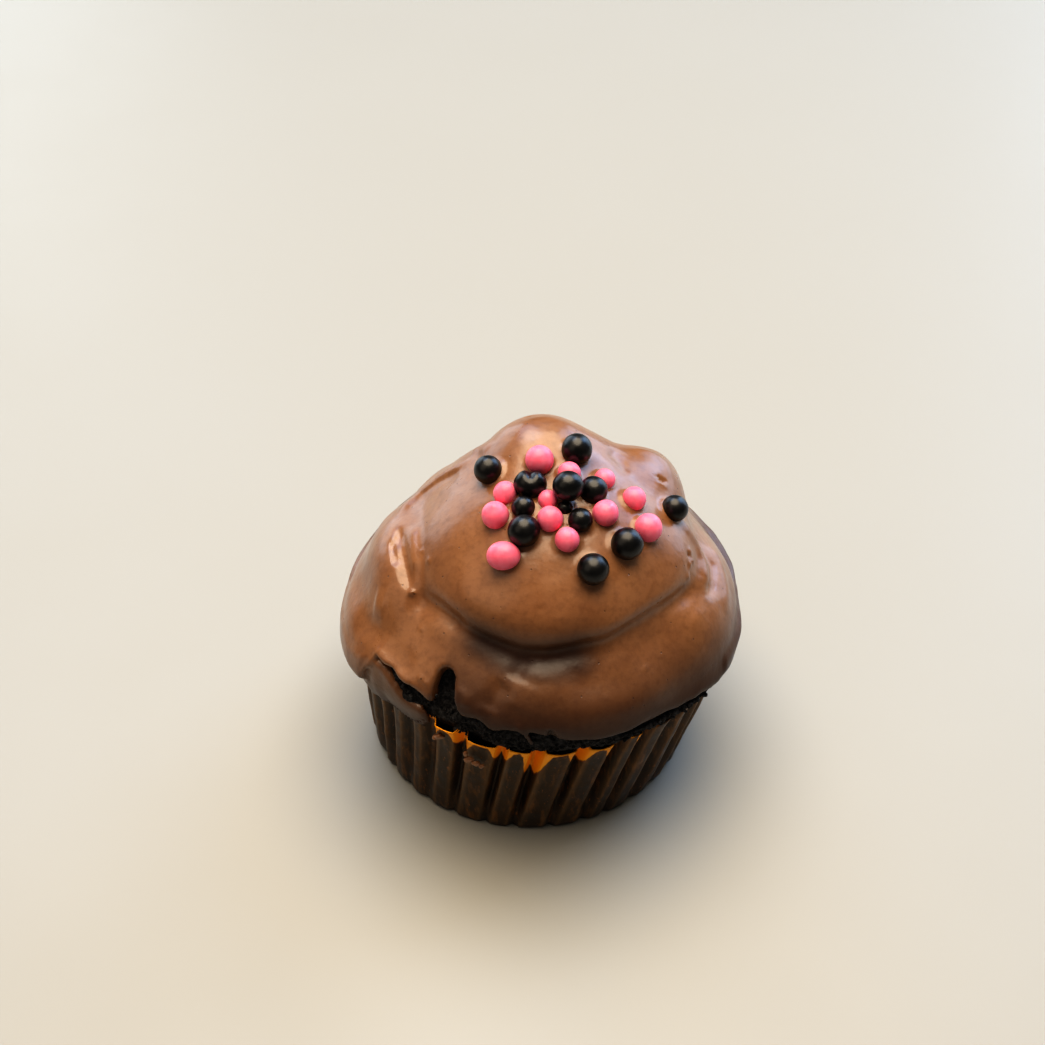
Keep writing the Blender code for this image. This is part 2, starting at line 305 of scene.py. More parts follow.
class Paint:
    # one material and the ways of adding to it
    def __init__(self, name, **constants):
        self.material = bpy.data.materials.new(name)
        self.material.use_nodes = True
        self.tree = self.material.node_tree
        self.shader = self.tree.nodes["Principled BSDF"]
        for socket, value in constants.items():
            self.shader.inputs[socket.replace("_", " ")].default_value = value

    def node(self, kind, settings, inputs, output=0):
        made = self.tree.nodes.new(kind)
        for key, value in settings.items():
            if key == "stops":
                ramp = made.color_ramp
                while len(ramp.elements) < len(value):
                    ramp.elements.new(1)
                for element, (place, shade) in zip(ramp.elements, value):
                    element.position = place
                    element.color = (shade, shade, shade, 1)
            else:
                setattr(made, key, value)
        for key, value in inputs.items():
            self.feed(made.inputs[key], value)
        return Wire(self, made.outputs[output])

    def feed(self, socket, value):
        if isinstance(value, Wire):
            self.tree.links.new(value.socket, socket)
        elif isinstance(value, tuple) and len(value) == 3 and socket.type == "RGBA":
            socket.default_value = (*value, 1)
        else:
            socket.default_value = value

    def give(self, socket, value):
        self.feed(self.shader.inputs[socket], value)

    def place(self, stretch=(1, 1, 1)):
        # position on the object in millimetres, stretched along an axis where asked
        spot = self.node("ShaderNodeTexCoord", {}, {}, "Object")
        scale = tuple(1000 / s for s in stretch)
        return self.node("ShaderNodeVectorMath", {"operation": "MULTIPLY"}, {0: spot, 1: scale})

    def noise(self, size, detail=3.0, rough=0.5, stretch=(1, 1, 1)):
        inputs = {"Vector": self.place(stretch), "Scale": 1 / size, "Detail": detail, "Roughness": rough}
        return self.node("ShaderNodeTexNoise", {}, inputs, "Fac")

    def cells(self, size):
        inputs = {"Vector": self.place(), "Scale": 1 / size}
        return self.node("ShaderNodeTexVoronoi", {"feature": "F1"}, inputs, "Distance")

    def ramp(self, value, *stops):
        return self.node("ShaderNodeValToRGB", {"stops": stops}, {"Fac": value})

    def blend(self, a, b, share):
        # a Mix node's colours are its inputs 6 and 7, and its colour output is number 2
        return self.node("ShaderNodeMix", {"data_type": "RGBA"}, {6: a, 7: b, 0: share}, 2)

    def value(self, name):
        return self.node("ShaderNodeAttribute", {"attribute_name": name}, {}, "Fac")

    def bump(self, height, depth, strength=1.0, after=None):
        inputs = {"Height": height, "Distance": depth * mm, "Strength": strength}
        if after:
            inputs["Normal"] = after
        return self.node("ShaderNodeBump", {}, inputs, "Normal")


def tint(red, green, blue):
    # a colour as a paint chart gives it, 0 to 255, to the renderer's linear scale
    shares = [part / 255 for part in (red, green, blue)]
    return tuple(s / 12.92 if s <= 0.04045 else ((s + 0.055) / 1.055) ** 2.4 for s in shares)


# The muffin's own shape

caseLow, caseHigh = [np.array(corner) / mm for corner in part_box("paper_case")]
icingLow, icingHigh = [np.array(corner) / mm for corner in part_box("icing")]

caseForm = {
    "height": caseHigh[2],
    "footRadius": 26.9,
    "baseRadius": 27.3,
    "rimRadius": 31.0,
    "lean": 2.5,                # towards +X at the rim
    "twist": 4.0,               # degrees from foot to rim
}

# The lumps of the iced cap: centre, radii, and how softly each joins those before it
capLumps = {
    "lower roll": ((2.0, -2.0, 30.5), (30.5, 29.0, 11.0), 0.0),
    "back roll": ((2.5, 8.0, 28.5), (28.0, 24.0, 9.5), 2.0),
    "middle": ((2.5, -1.5, 33.0), (26.0, 25.0, 17.0), 4.0),
    "back fold": ((4.0, 6.0, 36.5), (18.0, 17.0, 10.5), 2.5),
    "upper fold": ((4.0, -4.0, 41.0), (22.0, 20.5, 11.0), 1.5),
    "upper dome": ((3.5, -3.5, 38.0), (20.5, 19.5, 17.5), 3.0),
    "saddle": ((10.5, 5.0, 45.0), (8.0, 8.0, 8.6), 4.0),
    "peak": ((2.1, 5.0, 47.8), (10.5, 10.0, 10.9), 4.0),
    "back knob": ((-6.5, 5.5, 43.0), (8.0, 8.5, 8.5), 2.5),
    "right knob": ((17.6, 5.5, 42.6), (7.4, 8.6, 9.2), 3.0),
    "left lobe": ((-17.0, -8.0, 26.5), (13.0, 14.0, 10.0), 5.0),
    "left shoulder": ((-9.3, 6.0, 37.8), (10.0, 11.0, 9.0), 3.0),
    "left roll": ((-19.0, -3.0, 35.0), (7.0, 13.0, 9.0), 2.5),
    "right lobe": ((20.0, -6.0, 30.2), (12.4, 15.5, 11.0), 4.0),
    "front lobe": ((4.0, -18.5, 29.5), (18.0, 14.5, 9.0), 4.0),
    "right lip": ((17.0, -9.0, 26.4), (15.0, 17.0, 6.0), 3.0),
}


def capDistance(points):
    total = None
    for centre, radii, blend in capLumps.values():
        radii = np.array(radii)
        scaled = (points - centre) / radii
        length = np.linalg.norm(scaled, axis=1)
        slope = np.maximum(np.linalg.norm(scaled / radii, axis=1), 0.001)
        lump = length * (length - 1) / slope
        if total is None:
            total = lump
        elif blend:
            total = softMin(total, lump, blend)
        else:
            total = np.minimum(total, lump)
    return total


def caseRadius(heights):
    spread = caseForm["rimRadius"] - caseForm["baseRadius"]
    return caseForm["baseRadius"] + spread * heights / caseForm["height"]


def wallDistance(points):
    # how far outside the pleats' crests a point is, level with it
    heights = np.clip(points[:, 2], 0, caseForm["height"] + 3)
    lean = caseForm["lean"] * heights / caseForm["height"]
    return np.hypot(points[:, 0] - lean, points[:, 1]) - caseRadius(heights)


# Icing

icingWork = {
    "cell": 0.48,
    "thickness": 2.0,
    "edgeRounding": 1.2,
    "beadHeight": 0.25,         # the lip is a little fatter than the coat above it
    "beadWidth": 1.6,
    "beadRise": 0.8,
    "coatRounding": 0.6,
    "holeRounding": 0.8,
    "notchRounding": 0.5,
    "threadBlend": 0.5,
    "lipGrain": (2.2, 0.3),     # size of the wobbles, and their height
    "flapGrains": ((2.0, 0.15), (3.0, 0.2), (6.0, 0.15)),          # at its top, hem and face
    "flapTaper": 5.0,           # the flap thins over this height above its hem
    "flapRounding": 1.0,
    "flapBlend": (2.5, 0.6),    # where the flap joins the coat, and beside the open slot
    "slotSpan": (-143.5, -116.0),
    "slotFade": 3.0,
    "boxGap": 0.05,             # how far the icing stays within its box in the frame
    "boxRounding": 0.4,
    "insideTop": 27.5,          # below this the icing keeps out of the case
    "insideRounding": 0.2,
    "unevenness": ((9.0, 0.20), (3.5, 0.06)),      # size of the swells, and their height
    "meniscusHeight": 0.4,
    "meniscusWidth": 0.5,
    # painted shade: the first is how high it fades up from the coat's lower edge, the second how wide it
    # lies along the valley
    "edgeShadeHeight": 13.5,
    "valleyShadeWidth": 4.3,
}

# Height of the coat's lower edge over the case, by azimuth
lipHeights = [
    (-180, 26.0), (-160, 26.0), (-146, 26.3), (-143, 29.6), (-141, 32.2), (-135, 32.0), (-129, 31.1),
    (-124, 30.4), (-120, 29.7), (-117, 30.8), (-112, 31.4), (-109.5, 29.9), (-104, 30.4), (-100, 29.1),
    (-96, 30.1), (-90, 30.3), (-84, 29.7), (-79, 29.0), (-72, 28.3), (-60, 28.0), (-52, 27.4),
    (-40, 27.0), (-32, 26.2), (-22, 25.7), (-8, 25.1), (6, 24.9), (22, 25.3), (38, 24.7), (52, 24.2),
    (66, 24.9), (84, 25.5), (100, 24.7), (116, 24.2), (132, 25.3), (152, 25.9),
]

# The flap that hangs over the paper: its upper and lower edge, and how far out it stands
flapTops = [
    (-180, 28.5), (-155, 28.5), (-148, 29.6), (-143, 31.7), (-140, 31.6), (-138, 31.2), (-136, 30.7),
    (-133, 29.7), (-131, 28.9), (-129, 28.3), (-127, 28.1), (-124, 28.1), (-121.8, 27.6),
    (-119.8, 25.4), (-117, 20.0), (-34, 20.0), (-28, 28.2), (0, 28.6), (150, 28.6),
]
flapBottoms = [
    (-180, 19.6), (-166, 18.3), (-157, 18.2), (-149, 19.2), (-144, 20.7), (-138, 21.9), (-132, 22.0),
    (-127, 22.1), (-123.5, 22.4), (-121.5, 23.8), (-119.8, 26.0), (-117, 30.0), (-60, 30.0),
    (-34, 30.0), (-24, 26.5), (-14, 24.6), (0, 24.2), (14, 24.9), (28, 24.0), (42, 23.2), (58, 24.4),
    (74, 24.9), (90, 23.8), (104, 22.6), (118, 23.6), (132, 24.4), (146, 23.8), (158, 22.4), (170, 20.8),
]
flapOuts = [
    (-180, 1.4), (-160, 1.6), (-150, 2.0), (-143, 1.8), (-138, 1.4), (-130, 1.4), (-122, 1.3),
    (-30, 0.8), (0, 0.9), (30, 0.8), (60, 0.5), (120, 0.5), (150, 1.1), (165, 1.4),
]

# How far off the paper the icing's inner face is, by azimuth; below 0 it takes the paper in
wallGaps = [(-180, -1.1), (-166, -1.1), (-156, 0.25), (-40, 0.25), (-30, -1.1)]

# Folds drawn on the icing: points on its face, height (below 0 is a groove), width
icingFolds = {
    "front valley": (
        [(-13.6, -17.5, 40.8), (-7.4, -22.3, 40.2), (-1.5, -25.4, 39.3), (2.2, -25.6, 39.3),
         (5.9, -25.1, 39.9), (10.4, -23.9, 40.7), (14.9, -21.8, 41.1)], -0.4, 1.6),
    "valley core": (
        [(-7.0, -22.9, 39.6), (-2.6, -25.6, 38.6), (2.2, -26.3, 38.6), (6.4, -25.7, 39.2)], -0.2, 1.6),
    "left valley": (
        [(-18.8, -13.8, 40.6), (-16.0, -15.6, 40.6), (-13.6, -17.5, 41.0), (-9.0, -21.0, 40.6)], -0.9, 1.6),
    "right valley": (
        [(10.4, -23.8, 40.9), (15.6, -21.4, 41.4), (19.6, -18.4, 41.6), (23.4, -14.3, 40.9),
         (26.0, -10.6, 40.0)], -0.9, 1.5),
    "valley brow": (
        [(-15.8, -13.4, 43.2), (-12.0, -17.4, 42.9), (-6.6, -21.4, 42.4), (-0.5, -24.0, 41.7),
         (5.9, -24.0, 42.2), (12.0, -22.2, 43.0), (18.6, -17.6, 43.2)], 0.4, 1.4),
    "valley skirt": (
        [(-13.6, -13.8, 45.4), (-9.0, -18.6, 44.6), (-3.0, -22.0, 43.6), (3.0, -23.2, 43.6),
         (9.6, -21.8, 44.4), (16.0, -17.6, 45.2)], 0.75, 2.8),
    "valley spur": ([(-0.5, -25.6, 39.6), (-1.6, -26.8, 38.3), (-2.6, -28.2, 36.9)], -0.5, 1.2),
    "spur runnel": ([(-3.4, -28.0, 36.6), (-5.4, -29.4, 34.8), (-6.6, -30.6, 32.8)], -0.5, 1.5),
    "front facet": ([(0.2, -28.4, 37.0), (-0.8, -29.8, 35.2), (-1.8, -31.2, 33.2)], 0.2, 2.4),
    "left crease": (
        [(-20.6, -1.1, 43.6), (-20.2, -5.8, 43.7), (-19.4, -9.5, 42.9), (-18.8, -11.8, 41.9),
         (-18.5, -13.6, 40.9)], -1.0, 0.75),
    "crease brow": (
        [(-18.6, -1.4, 45.3), (-18.4, -6.0, 45.0), (-17.8, -9.6, 44.0), (-17.2, -12.0, 42.9)], 0.4, 1.1),
    "crease second line": ([(-21.6, -3.6, 42.8), (-21.0, -7.4, 42.6), (-20.4, -9.6, 41.8)], -0.45, 0.5),
    "crease bead": ([(-18.0, -13.4, 41.6), (-18.3, -14.4, 40.9)], 0.55, 0.55),
    "shoulder ridge": (
        [(-20.9, 0.3, 43.4), (-20.0, 4.7, 42.8), (-17.7, 6.7, 44.2), (-14.3, 6.6, 47.3),
         (-11.0, 5.3, 50.4), (-8.1, 5.2, 52.6)], 0.5, 0.9),
    "shoulder dip": (
        [(-18.6, 0.8, 45.6), (-17.0, 3.6, 46.6), (-14.2, 4.4, 48.6), (-10.6, 3.6, 51.0)], -0.35, 1.5),
    "knob corner": ([(-9.6, 7.8, 51.6), (-7.4, 6.4, 53.4), (-6.0, 4.0, 54.6)], 0.45, 1.1),
    "peak ridge": ([(-3.8, 4.3, 57.0), (1.0, 6.6, 58.4), (5.6, 6.2, 57.6), (8.4, 3.0, 56.0)], 0.2, 1.6),
    "peak pit": ([(-0.2, 9.1, 57.6)], -0.6, 0.35),
    "peak pit beside": ([(0.7, 9.2, 57.6)], -0.45, 0.28),
    "saddle fold": ([(11.6, 4.6, 54.2), (13.6, 3.0, 52.8), (14.8, 0.6, 51.2)], -0.45, 1.4),
    "knob ridge": ([(15.4, 7.0, 52.2), (18.6, 7.4, 51.6), (21.0, 6.2, 50.0), (22.2, 3.2, 48.8)], 0.35, 1.1),
    "knob wrinkle": ([(19.6, 2.4, 50.8), (20.5, 2.0, 50.2), (21.4, 2.3, 49.5)], -0.45, 0.35),
    "knob wrinkle rim": ([(19.4, 1.6, 50.9), (20.6, 1.1, 50.1), (21.7, 1.6, 49.3)], 0.3, 0.3),
    "right fold": (
        [(22.4, -1.8, 48.0), (24.4, -3.6, 45.4), (26.4, -4.2, 42.4), (27.4, -6.0, 40.6),
         (27.4, -9.2, 39.8), (25.9, -12.0, 39.9)], 0.55, 1.3),
    "right fold groove": (
        [(25.4, -0.8, 44.8), (27.4, -2.4, 41.4), (28.9, -5.2, 38.9), (28.9, -9.0, 38.2),
         (27.2, -12.6, 38.4)], -0.6, 1.0),
    "right outer ridge": (
        [(29.2, 1.0, 39.6), (30.4, -3.0, 37.4), (31.0, -8.0, 35.6), (30.2, -12.6, 34.6)], 0.35, 1.2),
    "right runnel": ([(24.6, -15.4, 38.8), (26.2, -15.8, 35.8), (27.0, -16.2, 32.8)], 0.35, 1.6),
    "lower front roll": (
        [(4.0, -31.2, 33.4), (10.0, -29.6, 32.6), (16.0, -26.6, 32.0), (21.6, -22.0, 31.6)], 0.3, 2.4),
    "lower front dip": (
        [(6.0, -29.2, 36.6), (11.0, -28.0, 35.8), (16.0, -25.4, 35.2)], -0.2, 2.0),
    "slot brow": (
        [(-25.4, -16.6, 33.6), (-23.6, -19.2, 33.9), (-21.4, -21.8, 33.2), (-19.2, -23.9, 32.3),
         (-16.8, -25.8, 31.8)], 0.5, 1.0),
    "slot brow groove": (
        [(-28.4, -11.6, 34.0), (-26.4, -15.0, 35.2), (-23.8, -18.4, 35.8), (-20.6, -21.6, 35.0),
         (-17.6, -24.0, 34.0)], -1.1, 2.0),
    "hole brow": ([(-11.2, -27.6, 35.2), (-9.8, -28.6, 33.6), (-9.6, -29.2, 31.8)], 0.35, 0.9),
    "hole bead": ([(-11.6, -28.3, 31.6), (-11.3, -28.7, 30.8)], 0.4, 0.6),
    "left swell": ([(-24.8, -12.6, 37.6), (-22.4, -14.6, 38.6)], 0.35, 2.2),
    "back runnel one": ([(6.0, 24.0, 43.0), (8.0, 29.0, 36.0), (8.6, 31.0, 29.0)], 0.35, 2.2),
    "back runnel two": ([(-8.0, 22.0, 41.0), (-10.6, 26.4, 34.0), (-11.6, 28.2, 27.4)], 0.45, 2.6),
    "back runnel three": ([(22.0, 14.0, 41.0), (26.0, 18.0, 34.0), (26.8, 19.4, 28.0)], 0.45, 2.2),
    "back valley": (
        [(-17.6, 9.6, 41.6), (-12.6, 17.0, 40.0), (-3.0, 22.4, 39.6), (8.0, 22.2, 40.4),
         (17.6, 17.0, 40.8), (24.2, 9.0, 40.6)], -0.6, 1.8),
}

# Little bubbles and crumbs caught under the coat: place, height, radius
icingSpecks = [
    ((24.9, -7.7, 44.2), 0.35, 0.45), ((24.4, -8.6, 44.1), -0.45, 0.30), ((25.3, -8.9, 43.2), 0.32, 0.35),
    ((24.7, -9.8, 43.4), 0.35, 0.38), ((24.0, -10.4, 43.5), -0.4, 0.28), ((24.3, -11.8, 42.5), 0.3, 0.40),
    ((24.9, -11.2, 42.3), -0.35, 0.26), ((23.6, -12.6, 42.2), 0.25, 0.32),
    ((-16.8, -8.4, 44.9), 0.35, 0.30), ((-15.7, -10.8, 45.1), 0.25, 0.45),
    ((1.2, -22.5, 46.2), -0.5, 0.26), ((9.5, -19.4, 48.6), -0.5, 0.24),
    ((-16.7, -18.5, 38.1), 0.3, 0.35), ((-16.6, -24.2, 33.2), 0.45, 0.45),
    ((-15.8, -24.9, 32.8), 0.4, 0.35), ((17.3, -24.9, 36.0), 0.3, 0.35),
    ((-6.0, -30.2, 31.8), 0.3, 0.3), ((-5.2, -30.5, 31.6), 0.28, 0.26),
]

# The hole beside the slot, where the crumb shows
holePath = [(-12.5, -25.0, 34.0), (-12.8, -26.1, 32.6), (-13.1, -27.3, 30.6)]
holeRadii = [1.6, 2.05, 2.05]

# A thin run of icing down the crumb, and the notch beside it
threadPath = [(-1.7, -32.4, 31.6), (-0.6, -32.8, 30.2), (0.3, -32.8, 28.2)]
threadRadii = [0.45, 0.38, 0.32]
notchPath = [(3.0, -32.6, 31.0), (3.4, -33.2, 30.0)]
notchRadii = [0.45, 0.6]

pearlBoxes = {}
for nodeName in sorted(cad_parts):
    if nodeName.startswith("pearl_"):
        corners = [np.array(corner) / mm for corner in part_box(nodeName)]
        pearlBoxes[nodeName] = ((corners[0] + corners[1]) / 2, (corners[1] - corners[0]) / 2)


def foldHeight(points):
    # what the folds and specks add to the icing's face
    height = np.zeros(len(points))
    marks = [(path, rise, width) for path, rise, width in icingFolds.values()]
    marks += [([place], rise, width) for place, rise, width in icingSpecks]
    for path, rise, width in marks:
        corners = np.array(path)
        reach = 2.6 * width
        near = ((points > corners.min(0) - reach) & (points < corners.max(0) + reach)).all(1)
        if near.any():
            away, along = strandDistance(points[near], path)
            fade = 1 if len(path) == 1 else rampUp(0, 0.25, along) * rampUp(0, 0.25, 1 - along)
            height[near] += rise * fade * np.exp(-(away / width) ** 2)
    return height


def pearlRise(points):
    # the icing creeps a little up each pearl
    rise = np.zeros(len(points))
    for centre, radii in pearlBoxes.values():
        reach = radii.max() + 2
        near = (np.abs(points - centre) < reach).all(1)
        away = np.linalg.norm(points[near] - centre, axis=1) - radii.mean()
        lift = icingWork["meniscusHeight"] * np.exp(-(away / icingWork["meniscusWidth"]) ** 2)
        rise[near] = np.maximum(rise[near], lift)
    return rise


def coatUnderside(points, cap):
    # the coat keeps its thickness where a fold goes in
    return cap + icingWork["thickness"] + np.maximum(-foldHeight(points), 0)


def flapDistance(points, azimuths, wall):
    work = icingWork
    heights = points[:, 2]
    level = points * (1, 1, 0)
    topGrain, hemGrain, faceGrain = work["flapGrains"]
    top = roundTheRim(flapTops, azimuths) + wobble(level, topGrain, 16)
    hem = roundTheRim(flapBottoms, azimuths) + wobble(level, hemGrain, 13)
    out = roundTheRim(flapOuts, azimuths) - wobble(points, faceGrain, 14)
    out = out * (0.5 + 0.5 * rampUp(0, work["flapTaper"], heights - hem))
    flap = softMax(wall - out, hem - heights, 1.3 * work["flapRounding"])
    return softMax(flap, heights - top, work["flapRounding"])


def icingDistance(points):
    work = icingWork
    cap = capDistance(points)
    azimuths = azimuthOf(points)
    wall = wallDistance(points)
    lip = roundTheRim(lipHeights, azimuths) + wobble(points * (1, 1, 0), work["lipGrain"], 11)
    above = points[:, 2] - lip
    bead = work["beadHeight"] * np.exp(-((above - work["beadRise"]) / work["beadWidth"]) ** 2)
    outer = cap - foldHeight(points) - pearlRise(points) - bead
    for look in work["unevenness"]:
        outer = outer - wobble(points, look, 12)
    shell = softMax(outer, -coatUnderside(points, cap), work["coatRounding"])
    shell = softMax(shell, -above, work["edgeRounding"])
    shell = softMax(shell, -rope(points, holePath, holeRadii), work["holeRounding"])
    shell = softMax(shell, -rope(points, notchPath, notchRadii), work["notchRounding"])
    start, end = work["slotSpan"]
    fade = work["slotFade"]
    beside = rampUp(start - fade, start, azimuths) * rampUp(-end - fade, -end, -azimuths)
    wide, narrow = work["flapBlend"]
    body = softMin(shell, flapDistance(points, azimuths, wall), wide + (narrow - wide) * beside)
    body = softMin(body, rope(points, threadPath, threadRadii), work["threadBlend"])
    within = np.maximum(points - icingHigh, icingLow - points).max(1) + work["boxGap"]
    body = softMax(body, within, work["boxRounding"])
    inside = np.maximum(wall, points[:, 2] - work["insideTop"])
    return softMax(body, roundTheRim(wallGaps, azimuths) - inside, work["insideRounding"])


def icingPaint():
    paint = Paint("milk_chocolate_icing", Specular_IOR_Level=0.5, Coat_Roughness=0.14)
    clouds = paint.noise(7.0, 3)
    mottle = paint.noise(1.1, 4, 0.6)
    colour = paint.blend(tint(133, 90, 57), tint(149, 105, 69), paint.ramp(clouds, (0.3, 0.0), (0.7, 1.0)))
    colour = paint.blend(colour, tint(108, 69, 40), paint.ramp(mottle, (0.45, 0.0), (0.75, 0.5)))
    dotMask = paint.ramp(paint.cells(2.4), (0.04, 1.0), (0.075, 0.0))
    # painted shade mask: darkens the valley and the lower roll towards a near-black brown, and makes them
    # rougher with less coat
    thin = paint.value("thin")
    colour = paint.blend(colour, tint(38, 13, 4), thin * 0.95)
    colour = paint.blend(colour, tint(54, 30, 18), dotMask * 0.6)
    paint.give("Base Color", colour)
    smears = paint.noise(4.0, 4, 0.6)
    paint.give("Roughness", paint.ramp(smears, (0.3, 0.27), (0.7, 0.42)) + thin * 0.14)
    paint.give("Coat Weight", 0.42 - thin * 0.38)
    skin = paint.noise(0.5, 3, 0.55)
    swell = paint.noise(2.2, 2, 0.5)
    height = paint.bump(swell, 0.18, 0.5)
    height = paint.bump(skin, 0.03, 0.5, height)
    height = paint.bump(1 - dotMask, 0.1, 0.5, height)
    paint.give("Normal", height)
    return paint.material


def thinCoatAndShadeOf(points):
    # painted shade, 1 in the valley under the dome and at the coat's lower edge, fading over the lower
    # roll; right at the lower edge it also stands for the coat running thinner over the dark cake
    azimuths = azimuthOf(points)
    lowest = np.minimum(roundTheRim(lipHeights, azimuths), roundTheRim(flapBottoms, azimuths))
    edge = 1 - rampUp(0, icingWork["edgeShadeHeight"], points[:, 2] - lowest)
    away, along = strandDistance(points, icingFolds["valley core"][0])
    return np.maximum(0.95 * edge, np.exp(-(away / icingWork["valleyShadeWidth"]) ** 2))


def makeIcing():
    points, quads = meshOf(icingDistance, icingLow - 2, icingHigh + 2, icingWork["cell"])
    material = icingPaint()
    piece = addPiece("icing_coat", points, [quads], material, ["icing"])
    # painted shade, and the thinner coat at the lower edge, for the material to read
    addValues(piece, "thin", thinCoatAndShadeOf(points))
    return material


# Cake

cakeWork = {
    "cell": 0.45,
    "overlap": 0.3,             # how far the cake goes into the coat
    "brimHeight": 27.7,
    "brimThickness": 2.1,
    "brimSquash": 0.62,         # the brim is taller than it is thick
    "underLip": 1.0,            # how far within the coat the brim stays above the lip
    "holeDepth": 1.0,
    "plugInset": 3.0,
    "floor": 0.5,
    "plugTop": 27.0,
    "plugRounding": 1.0,
    "plugBlend": 0.8,
    "rimGap": 0.2,              # how far over the paper's rim the cake's upper part starts
    "rimRounding": 0.8,
    "brimBlend": 1.5,
    "brimRounding": 0.5,
    "brimFree": (1.6, 4.0),     # below the lip by the first the brim may stand out by the second
    "holeRounding": 0.6,
    "crumbs": ((1.7, 0.34), (0.8, 0.24)),          # size of the crumbs, and their height
    "crumbsFrom": (20.0, 23.0),                    # heights between which they set in
}


# How far from the middle the brim's own centre line is, by azimuth
brimRadii = [
    (-180, 28.8), (-155, 29.0), (-143, 30.0), (-128, 30.0), (-121, 28.9), (-108, 28.9), (-99, 30.0),
    (-40, 30.0), (-24, 28.8), (0, 28.2), (120, 28.2), (150, 28.5),
]


def cakeDistance(points):
    work = cakeWork
    heights = points[:, 2]
    cap = capDistance(points)
    under = coatUnderside(points, cap) - work["overlap"]
    body = softMax(under, caseForm["height"] + work["rimGap"] - heights, work["rimRounding"])
    lean = caseForm["lean"] * np.clip(heights, 0, 30) / caseForm["height"]
    out = np.hypot(points[:, 0] - lean, points[:, 1])
    azimuths = azimuthOf(points)
    brim = out - roundTheRim(brimRadii, azimuths)
    brim = np.hypot(brim, work["brimSquash"] * (heights - work["brimHeight"])) - work["brimThickness"]
    belowLip = roundTheRim(lipHeights, azimuths) - heights
    drop, freedom = work["brimFree"]
    cover = cap + work["underLip"] - freedom * rampUp(0, drop, belowLip)
    brim = softMax(brim, cover, work["brimRounding"])
    body = softMin(body, brim, work["brimBlend"])
    hollow = work["holeDepth"] - rope(points, holePath, holeRadii)
    body = softMax(body, hollow, work["holeRounding"])
    plug = wallDistance(points) + work["plugInset"]
    plug = softMax(plug, heights - work["plugTop"], work["plugRounding"])
    plug = softMax(plug, work["floor"] - heights, work["plugRounding"])
    body = softMin(body, plug, work["plugBlend"])
    rough = rampUp(*work["crumbsFrom"], heights)
    for size, height in work["crumbs"]:
        crumb = height * np.abs(grain(points, size, 21)) + 0.5 * height * grain(points, size / 2, 22)
        body = body - rough * crumb
    return body


def cakePaint():
    paint = Paint("chocolate_crumb", Specular_IOR_Level=0.3)
    crumb = paint.noise(0.7, 5, 0.65)
    colour = paint.blend(tint(26, 24, 24), tint(76, 74, 76), paint.ramp(crumb, (0.42, 0.0), (0.75, 1.0)))
    paint.give("Base Color", colour)
    paint.give("Roughness", paint.ramp(crumb, (0.3, 0.95), (0.8, 0.65)))
    pores = paint.cells(0.7)
    rough = paint.bump(crumb, 0.5, 0.9)
    paint.give("Normal", paint.bump(pores, 0.3, 0.6, rough))
    return paint.material


def makeCake(material):
    low = np.minimum(caseLow - (2, 2, 0.5), icingLow - 1)
    points, quads = meshOf(cakeDistance, low, icingHigh, cakeWork["cell"])
    addPiece("cake_crumb", points, [quads], material, ["cake"])


# Loose crumbs on the brim

crumbWork = {
    "count": 420,
    "sizes": (0.14, 0.5),
    "lowest": 25.4,
    "span": (-140.0, -32.0),    # azimuths of the open brim
    "startRadius": 32.5,
    "seed": 31,
}


def roundLump(subdivisions):
    # a unit ball of triangles
    shape = bmesh.new()
    bmesh.ops.create_icosphere(shape, subdivisions=subdivisions, radius=1)
    shape.verts.ensure_lookup_table()
    points = np.array([v.co for v in shape.verts])
    faces = np.array([[v.index for v in f.verts] for f in shape.faces])
    shape.free()
    return points, faces


def scatter(lumps):
    # joins (points, faces) pairs into one mesh
    points = []
    faces = []
    start = 0
    for lumpPoints, lumpFaces in lumps:
        points.append(lumpPoints)
        faces.append(lumpFaces + start)
        start += len(lumpPoints)
    return np.concatenate(points), np.concatenate(faces)


def makeCrumbs(material):
    work = crumbWork
    rng = np.random.default_rng(work["seed"])
    angles = rng.uniform(*work["span"], work["count"])
    lowest = np.maximum(work["lowest"], roundTheRim(flapTops, angles) + 0.5)
    highest = np.maximum(lowest, roundTheRim(lipHeights, angles) - 0.5)
    heights = lowest + (highest - lowest) * rng.random(len(angles))
    angles = np.radians(angles)
    radius = work["startRadius"]
    starts = np.stack((radius * np.cos(angles) + caseForm["lean"], radius * np.sin(angles), heights), 1)
    places = settle(cakeDistance, starts, 1.2)
    ball, faces = roundLump(2)
    lumps = []
    for place in places:
        size = work["sizes"][0] + (work["sizes"][1] - work["sizes"][0]) * rng.random() ** 2
        squash = rng.uniform(0.6, 1.2, 3)
        bumps = 1 + 0.35 * grain(ball + rng.uniform(0, 20, 3), 0.6, 32)
        lumps.append((place + ball * bumps[:, None] * squash * size, faces))
    points, joined = scatter(lumps)
    addPiece("loose_crumbs", points, [joined], material, [])


# Paper case

